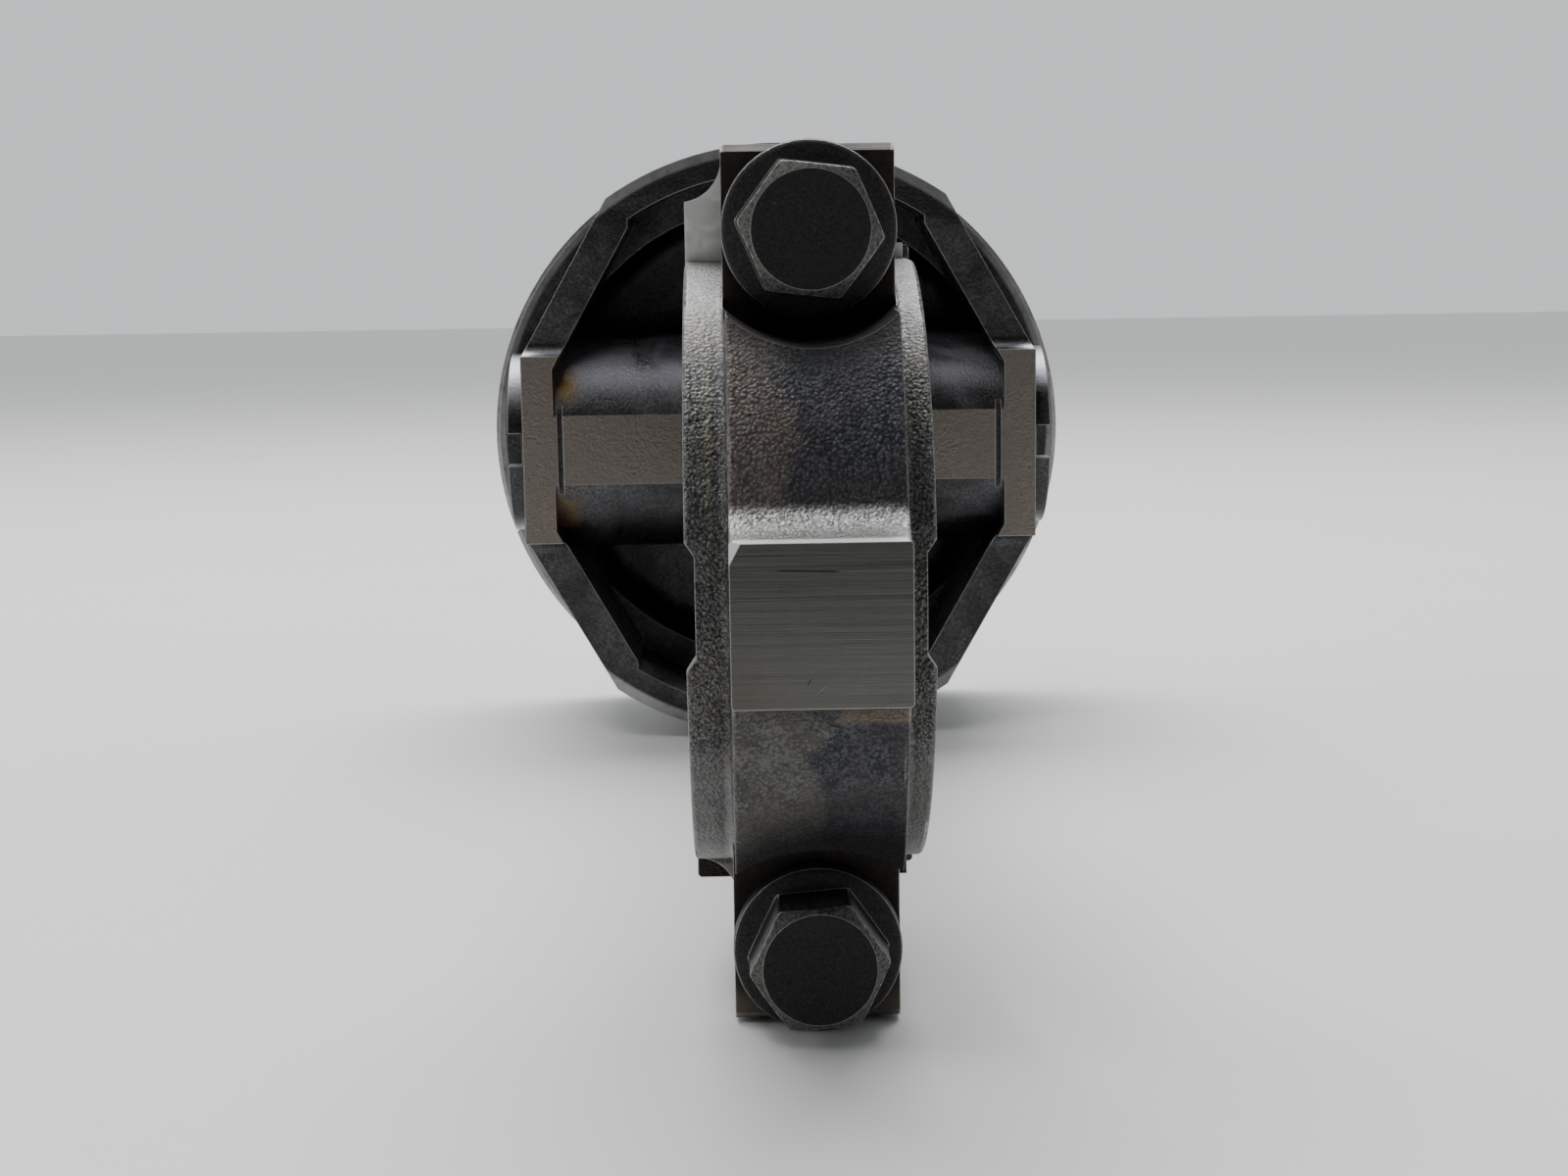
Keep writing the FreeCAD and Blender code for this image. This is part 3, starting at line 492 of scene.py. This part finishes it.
def casting_tone(s, grit, oil):
    """Unturned casting: dark and oily, milled at the feet and painted brown-grey there as a reflection, with
    a painted highlight on faces turned up, and varnish beside the pin bosses.
    """
    across = s.math("ABSOLUTE", s.x)
    aloft = s.math("ABSOLUTE", s.z)
    tone = s.mix(s.ramp(grit, 0.3, 0.7), (0.040, 0.041, 0.045), (0.115, 0.115, 0.120))
    tone = s.mix(s.times(oil, 0.7), tone, (0.020, 0.018, 0.018))
    lowest = s.ramp(s.y, PIN_Y_MM - 16.3, PIN_Y_MM - 16.5)
    milled = s.times(s.facing(1, 0.95, 0.99), lowest, s.ramp(aloft, 15.4, 14.9))
    # Painted reflection: the milled feet are painted brown-grey.
    tone = s.mix(milled, tone, s.mix(grit, (0.120, 0.103, 0.090), (0.205, 0.180, 0.160)))
    # Painted highlight: faces turned up, below the pin, are painted pale lavender.
    upward = s.times(s.ramp(s.split(s.normal)[2], 0.45, 0.90), s.ramp(s.y, PIN_Y_MM, PIN_Y_MM - 6.0))
    tone = s.mix(s.times(upward, s.blend(oil, 0.80, 0.50)), tone, (0.480, 0.475, 0.530))
    wall_root = s.times(s.band(across, 32.6, 36.3, 1.6), s.band(aloft, 7.8, 13.4, 2.0))
    patchy = s.ramp(s.noise(0.30), 0.28, 0.66)
    varnish = s.times(wall_root, s.ramp(s.y, PIN_Y_MM - 3.0, PIN_Y_MM - 9.0), patchy)
    return s.mix(s.times(varnish, s.ramp(s.x, 20.0, -20.0), 0.85), tone, (0.200, 0.115, 0.022))


def turned_tone(s, turning):
    """Turned skirt and lands: fine rings, with scuffs along the stroke."""
    tone = s.mix(s.ramp(turning, 0.3, 0.7), (0.17, 0.17, 0.175), (0.34, 0.34, 0.345))
    scuff = s.ramp(s.noise(0.5, detail=6.0, rough=0.7, stretch=(1.0, 0.06, 1.0)), 0.52, 0.68)
    return s.mix(s.times(scuff, 0.45), tone, (0.07, 0.07, 0.072))


def crown_tone(s, carbon, radius):
    """Crown: cloudy carbon, cleaner towards the rim."""
    tone = s.mix(s.ramp(carbon, 0.30, 0.66), (0.085, 0.078, 0.070), (0.260, 0.252, 0.240))
    return s.mix(s.times(s.ramp(radius, 40.0, 47.0), 0.5), tone, (0.300, 0.295, 0.285))


def piston_alloy(name):
    """Cast and turned aluminium: turned outside, dark oily casting inside, carbon on the crown."""
    s = Shader(name)
    worn, round_normal = s.edges(0.25)
    radius = s.math("SQRT", s.plus(s.times(s.x, s.x), s.times(s.z, s.z)))
    outside = s.ramp(radius, 46.0, 46.6)
    crown = s.ramp(s.y, CROWN_Y_MM - 0.3, CROWN_Y_MM - 0.1)
    turning = s.noise(1.0, detail=5.0, rough=0.7, stretch=(0.05, 7.0, 0.05))
    grit = s.noise(2.2, detail=6.0, rough=0.65)
    oil = s.ramp(s.noise(0.07, detail=4.0, warp=0.9), 0.36, 0.60)
    carbon = s.plus(s.times(s.noise(0.05, detail=6.0, rough=0.65), 0.7), s.times(grit, 0.3))
    colour = s.mix(outside, casting_tone(s, grit, oil), turned_tone(s, turning))
    colour = s.mix(crown, colour, crown_tone(s, carbon, radius))
    # Painted shade: darker in corners and holes, by ambient occlusion.
    colour = s.mix(s.times(s.inverse(s.open_air(7.0)), 0.8), colour, (0.008, 0.008, 0.009))
    colour = s.mix(s.times(worn, 0.55), colour, (0.55, 0.55, 0.54))
    inner_rough = s.blend(oil, s.blend(grit, 0.36, 0.50), 0.24)
    roughness = s.blend(outside, inner_rough, s.blend(turning, 0.26, 0.40))
    roughness = s.blend(crown, roughness, s.blend(carbon, 0.55, 0.36))
    fine = s.bump(s.times(turning, outside), 0.04, round_normal)
    normal = s.bump(s.times(grit, s.inverse(outside)), 0.10, fine)
    return s.finish(colour, roughness, s.blend(worn, 0.85, 0.35), normal)


def turned_metal(name, dark, light, roughness, stretch):
    """Plain machined metal with fine tool marks, faint stains and rubbed edges."""
    s = Shader(name)
    worn, round_normal = s.edges(0.15)
    marks = s.noise(1.0, detail=5.0, rough=0.7, stretch=stretch)
    stain = s.ramp(s.noise(0.3, detail=5.0, warp=0.7), 0.45, 0.68)
    colour = s.mix(s.ramp(marks, 0.3, 0.7), dark, light)
    colour = s.mix(s.times(stain, 0.35), colour, tuple(0.45 * c for c in dark))
    colour = s.mix(s.times(worn, 0.5), colour, (0.62, 0.61, 0.59))
    rough = s.blend(stain, roughness, roughness + 0.16)
    normal = s.bump(marks, 0.02, round_normal)
    return s.finish(colour, rough, 1.0, normal)


def make_materials():
    """One material for every slot of the record."""
    return {
        "forged_rod": steel_forging("forged_rod_steel", 1.0, False),
        "forged_cap": steel_forging("forged_cap_steel", 0.9, True),
        "bearing_lining": turned_metal(
            "bearing_lining_alloy", (0.36, 0.35, 0.33), (0.52, 0.51, 0.49), 0.28, (5.0, 0.1, 0.1)),
        "black_bolt": black_oxide("black_bolt_oxide"),
        "dowel_steel": turned_metal(
            "dowel_bright_steel", (0.30, 0.30, 0.30), (0.48, 0.48, 0.47), 0.30, (0.1, 5.0, 0.1)),
        "bush_bronze": turned_metal(
            "bush_tin_bronze", (0.36, 0.21, 0.10), (0.58, 0.37, 0.19), 0.30, (5.0, 0.1, 0.1)),
        "polished_pin": turned_metal(
            "pin_ground_steel", (0.46, 0.46, 0.47), (0.60, 0.60, 0.61), 0.14, (6.0, 0.2, 0.2)),
        "spring_wire": turned_metal(
            "clip_spring_wire", (0.16, 0.16, 0.165), (0.30, 0.30, 0.305), 0.32, (0.5, 0.5, 0.5)),
        "piston_alloy": piston_alloy("piston_cast_alloy"),
        "ring_steel": turned_metal(
            "ring_nitrided_steel", (0.09, 0.09, 0.10), (0.20, 0.20, 0.21), 0.30, (0.1, 7.0, 0.1)),
        "ring_iron": turned_metal(
            "ring_phosphated_iron", (0.05, 0.05, 0.05), (0.12, 0.12, 0.115), 0.44, (0.1, 7.0, 0.1)),
        "rail_steel": turned_metal(
            "rail_bright_steel", (0.24, 0.24, 0.24), (0.40, 0.40, 0.39), 0.26, (0.1, 7.0, 0.1)),
    }


def dress_cad_nodes(materials):
    """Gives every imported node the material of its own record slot."""
    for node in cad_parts.values():
        for material_slot in node.material_slots:
            base_name = material_slot.material.name.split(".")[0]
            material_slot.material = materials[base_name]


def hex_reach(angle, turn):
    """How far a hexagon with slightly rounded corners reaches at that angle."""
    sharpness = 60
    total = 0.0
    for step in range(6):
        across = math.cos(angle - turn - math.radians(30 + 60 * step))
        total += max(0.0, across / (HEX_FLATS / 2)) ** sharpness
    return total ** (-1.0 / sharpness)


def bolt_rows(top_y, tip_y, flange_r, thread_r):
    """Rows of a bolt from the top of its head to its tip: (y, hex allowance or None for round, radius)."""
    flange_y = top_y + HEX_HEIGHT
    seat_y = flange_y + FLANGE_THICKNESS
    chamfer = math.tan(math.radians(30))
    corner_depth = (HEX_FLATS / math.sqrt(3) - HEX_FACE_R) * chamfer
    rows = []
    steps = 10
    for step in range(steps + 1):
        depth = corner_depth * step / steps
        rows.append((top_y + depth, 0.0, HEX_FACE_R + depth / chamfer))
    wide = HEX_FLATS
    rows += [
        (flange_y - 0.00050, 0.0, wide),
        (flange_y - 0.00030, 0.00006, wide),
        (flange_y - 0.00014, 0.00018, wide),
        (flange_y - 0.00008, 0.00035, wide),
        (flange_y + 0.00006, None, flange_r - 0.00055),
        (flange_y + 0.00014, None, flange_r - 0.00030),
        (flange_y + 0.00032, None, flange_r - 0.00008),
        (flange_y + 0.00055, None, flange_r),
        (seat_y - 0.00030, None, flange_r),
        (seat_y, None, flange_r - 0.00030),
        (seat_y, None, SHANK_R + 0.00040),
        (seat_y + 0.00040, None, SHANK_R),
        (THREAD_START_Y - 0.0004, None, SHANK_R),
    ]
    per_turn = 10
    count = int((tip_y - THREAD_START_Y) / THREAD_PITCH * per_turn)
    for step in range(count + 1):
        rows.append((THREAD_START_Y + (tip_y - THREAD_START_Y) * step / count, "thread", thread_r))
    return rows


def thread_reach(angle, y, tip_y, thread_r):
    """Radius of the thread, which runs in from the shank and is chamfered at the tip."""
    phase = (y / THREAD_PITCH - angle / math.tau) % 1.0
    ridge = 1.0 - abs(2.0 * phase - 1.0)
    ridge = min(1.0, max(0.0, 1.25 * ridge - 0.12))
    run_in = min(1.0, (y - THREAD_START_Y) / THREAD_PITCH)
    reach = thread_r - THREAD_DEPTH * (1.0 - ridge) * run_in
    return min(reach, thread_r - 0.0012 + (tip_y - y))


def cap_bolt(name, node, turn):
    """Flanged hexagon cap bolt with a cut thread, in place of its plain CAD solid."""
    low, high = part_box(node)
    centre_x = (low.x + high.x) / 2
    centre_z = (low.z + high.z) / 2
    flange_r = (high.x - low.x) / 2
    thread_r = 0.0045
    vertices = []
    rows = bolt_rows(low.y, high.y, flange_r, thread_r)
    for y, form, radius in rows:
        for step in range(BOLT_SEGMENTS):
            angle = turn + math.tau * step / BOLT_SEGMENTS
            if form == "thread":
                reach = thread_reach(angle, y, high.y, radius)
            elif form is None:
                reach = radius
            else:
                reach = min(hex_reach(angle, turn) + form, radius)
            vertices.append((centre_x + reach * math.cos(angle), y, centre_z + reach * math.sin(angle)))
    faces = []
    for row in range(len(rows) - 1):
        start = row * BOLT_SEGMENTS
        for step in range(BOLT_SEGMENTS):
            after = (step + 1) % BOLT_SEGMENTS
            below = start + BOLT_SEGMENTS
            faces.append((start + step, start + after, below + after, below + step))
    faces.append(tuple(reversed(range(BOLT_SEGMENTS))))
    last = (len(rows) - 1) * BOLT_SEGMENTS
    faces.append(tuple(range(last, last + BOLT_SEGMENTS)))
    mesh = bpy.data.meshes.new(name)
    mesh.from_pydata(vertices, [], faces)
    mesh.shade_smooth()
    mesh.set_sharp_from_angle(angle=math.radians(25))
    mesh.validate()
    bolt = bpy.data.objects.new(name, mesh)
    bpy.context.scene.collection.objects.link(bolt)
    return bolt


def make_bolts(materials):
    for name, node, turn in (
            ("upper_flanged_cap_bolt", "upper_cap_bolt", UPPER_HEX_TURN),
            ("lower_flanged_cap_bolt", "lower_cap_bolt", LOWER_HEX_TURN)):
        bolt = cap_bolt(name, node, turn)
        bolt.data.materials.append(materials["black_bolt"])
        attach(bolt, "rod")
        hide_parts(node)


def make_floor():
    """Pale floor through the two things that the part lies on: a bolt's flange and the skirt's edge."""
    bolt_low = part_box("lower_cap_bolt")[0]
    skirt_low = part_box("piston_body")[0]
    flange_y = bolt_low.y + HEX_HEIGHT + FLANGE_THICKNESS / 2
    skirt_edge_y = skirt_low.y + 0.0031
    slope = math.atan2(skirt_low.z - bolt_low.z, skirt_edge_y - flange_y)
    corners = [(-1, -1), (1, -1), (1, 1), (-1, 1)]
    vertices = [(FLOOR_REACH * x, FLOOR_REACH * y, 0.0) for x, y in corners]
    mesh = bpy.data.meshes.new("floor")
    mesh.from_pydata(vertices, [], [(0, 1, 2, 3)])
    floor = bpy.data.objects.new("floor", mesh)
    bpy.context.scene.collection.objects.link(floor)
    floor.matrix_world = (
        Matrix.Translation((0.0, flange_y, bolt_low.z - 0.00002)) @ Matrix.Rotation(slope, 4, "X"))
    s = Shader("floor_paint")
    tone = s.noise(0.02, detail=3.0)
    colour = s.mix(tone, tuple(0.95 * c for c in FLOOR_COLOUR), FLOOR_COLOUR)
    floor.data.materials.append(s.finish(colour, 0.55, 0.0))


def make_dark_card():
    """Dark card in front of and above the part, unseen itself, which keeps its forward faces dark."""
    outline = [(-0.95, -0.02), (-0.95, 0.95), (-0.10, 1.15)]
    vertices = [(side * CARD_HALF_WIDTH, y, z) for y, z in outline for side in (-1, 1)]
    mesh = bpy.data.meshes.new("dark_card")
    mesh.from_pydata(vertices, [], [(0, 1, 3, 2), (2, 3, 5, 4)])
    card = bpy.data.objects.new("dark_card", mesh)
    bpy.context.scene.collection.objects.link(card)
    s = Shader("dark_card_felt")
    felt = s.mix(s.noise(0.02), CARD_COLOUR, tuple(1.2 * c for c in CARD_COLOUR))
    card.data.materials.append(s.finish(felt, 0.9, 0.0))
    card.visible_camera = False


def area_light(name, place, aim, size, watts, colour=(1.0, 1.0, 1.0)):
    data = bpy.data.lights.new(name, "AREA")
    data.shape = "RECTANGLE"
    data.size, data.size_y = size
    data.energy = watts
    data.color = colour
    light = bpy.data.objects.new(name, data)
    bpy.context.scene.collection.objects.link(light)
    direction = Vector(aim) - Vector(place)
    light.matrix_world = Matrix.Translation(place) @ direction.to_track_quat("-Z", "Y").to_matrix().to_4x4()
    light.visible_camera = False


def make_lights():
    middle = (0.0, 0.07, 0.0)
    area_light("ceiling_panel", (-0.05, 0.50, 0.85), middle, (1.0, 0.5), 15.0)
    area_light("front_panel", (-0.25, -0.35, 0.95), middle, (0.4, 0.3), 2.5)
    area_light("left_panel", (-0.95, 0.05, 0.45), middle, (0.5, 0.5), 2.0)
    world = bpy.data.worlds.new("studio")
    world.use_nodes = True
    background = world.node_tree.nodes["Background"]
    background.inputs["Color"].default_value = (*WORLD_COLOUR, 1.0)
    background.inputs["Strength"].default_value = WORLD_STRENGTH
    bpy.context.scene.world = world


def make_camera():
    """Camera at the photograph's angle, from its place, pitch, yaw and roll."""
    forward = Vector((
        math.sin(CAMERA_YAW) * math.cos(CAMERA_PITCH),
        math.cos(CAMERA_YAW) * math.cos(CAMERA_PITCH),
        math.sin(CAMERA_PITCH)))
    level_right = Vector((math.cos(CAMERA_YAW), -math.sin(CAMERA_YAW), 0.0))
    level_up = level_right.cross(forward)
    right = level_right * math.cos(CAMERA_ROLL) + level_up * math.sin(CAMERA_ROLL)
    up = level_up * math.cos(CAMERA_ROLL) - level_right * math.sin(CAMERA_ROLL)
    data = bpy.data.cameras.new("camera")
    data.lens = CAMERA_LENS
    data.sensor_width = CAMERA_SENSOR
    data.clip_start = 0.01
    camera = bpy.data.objects.new("camera", data)
    bpy.context.scene.collection.objects.link(camera)
    turn = Matrix((right, up, -forward)).transposed().to_4x4()
    camera.matrix_world = Matrix.Translation(CAMERA_PLACE) @ turn
    bpy.context.scene.camera = camera


materials = make_materials()
dress_cad_nodes(materials)
make_bolts(materials)
make_floor()
make_dark_card()
make_lights()
make_camera()
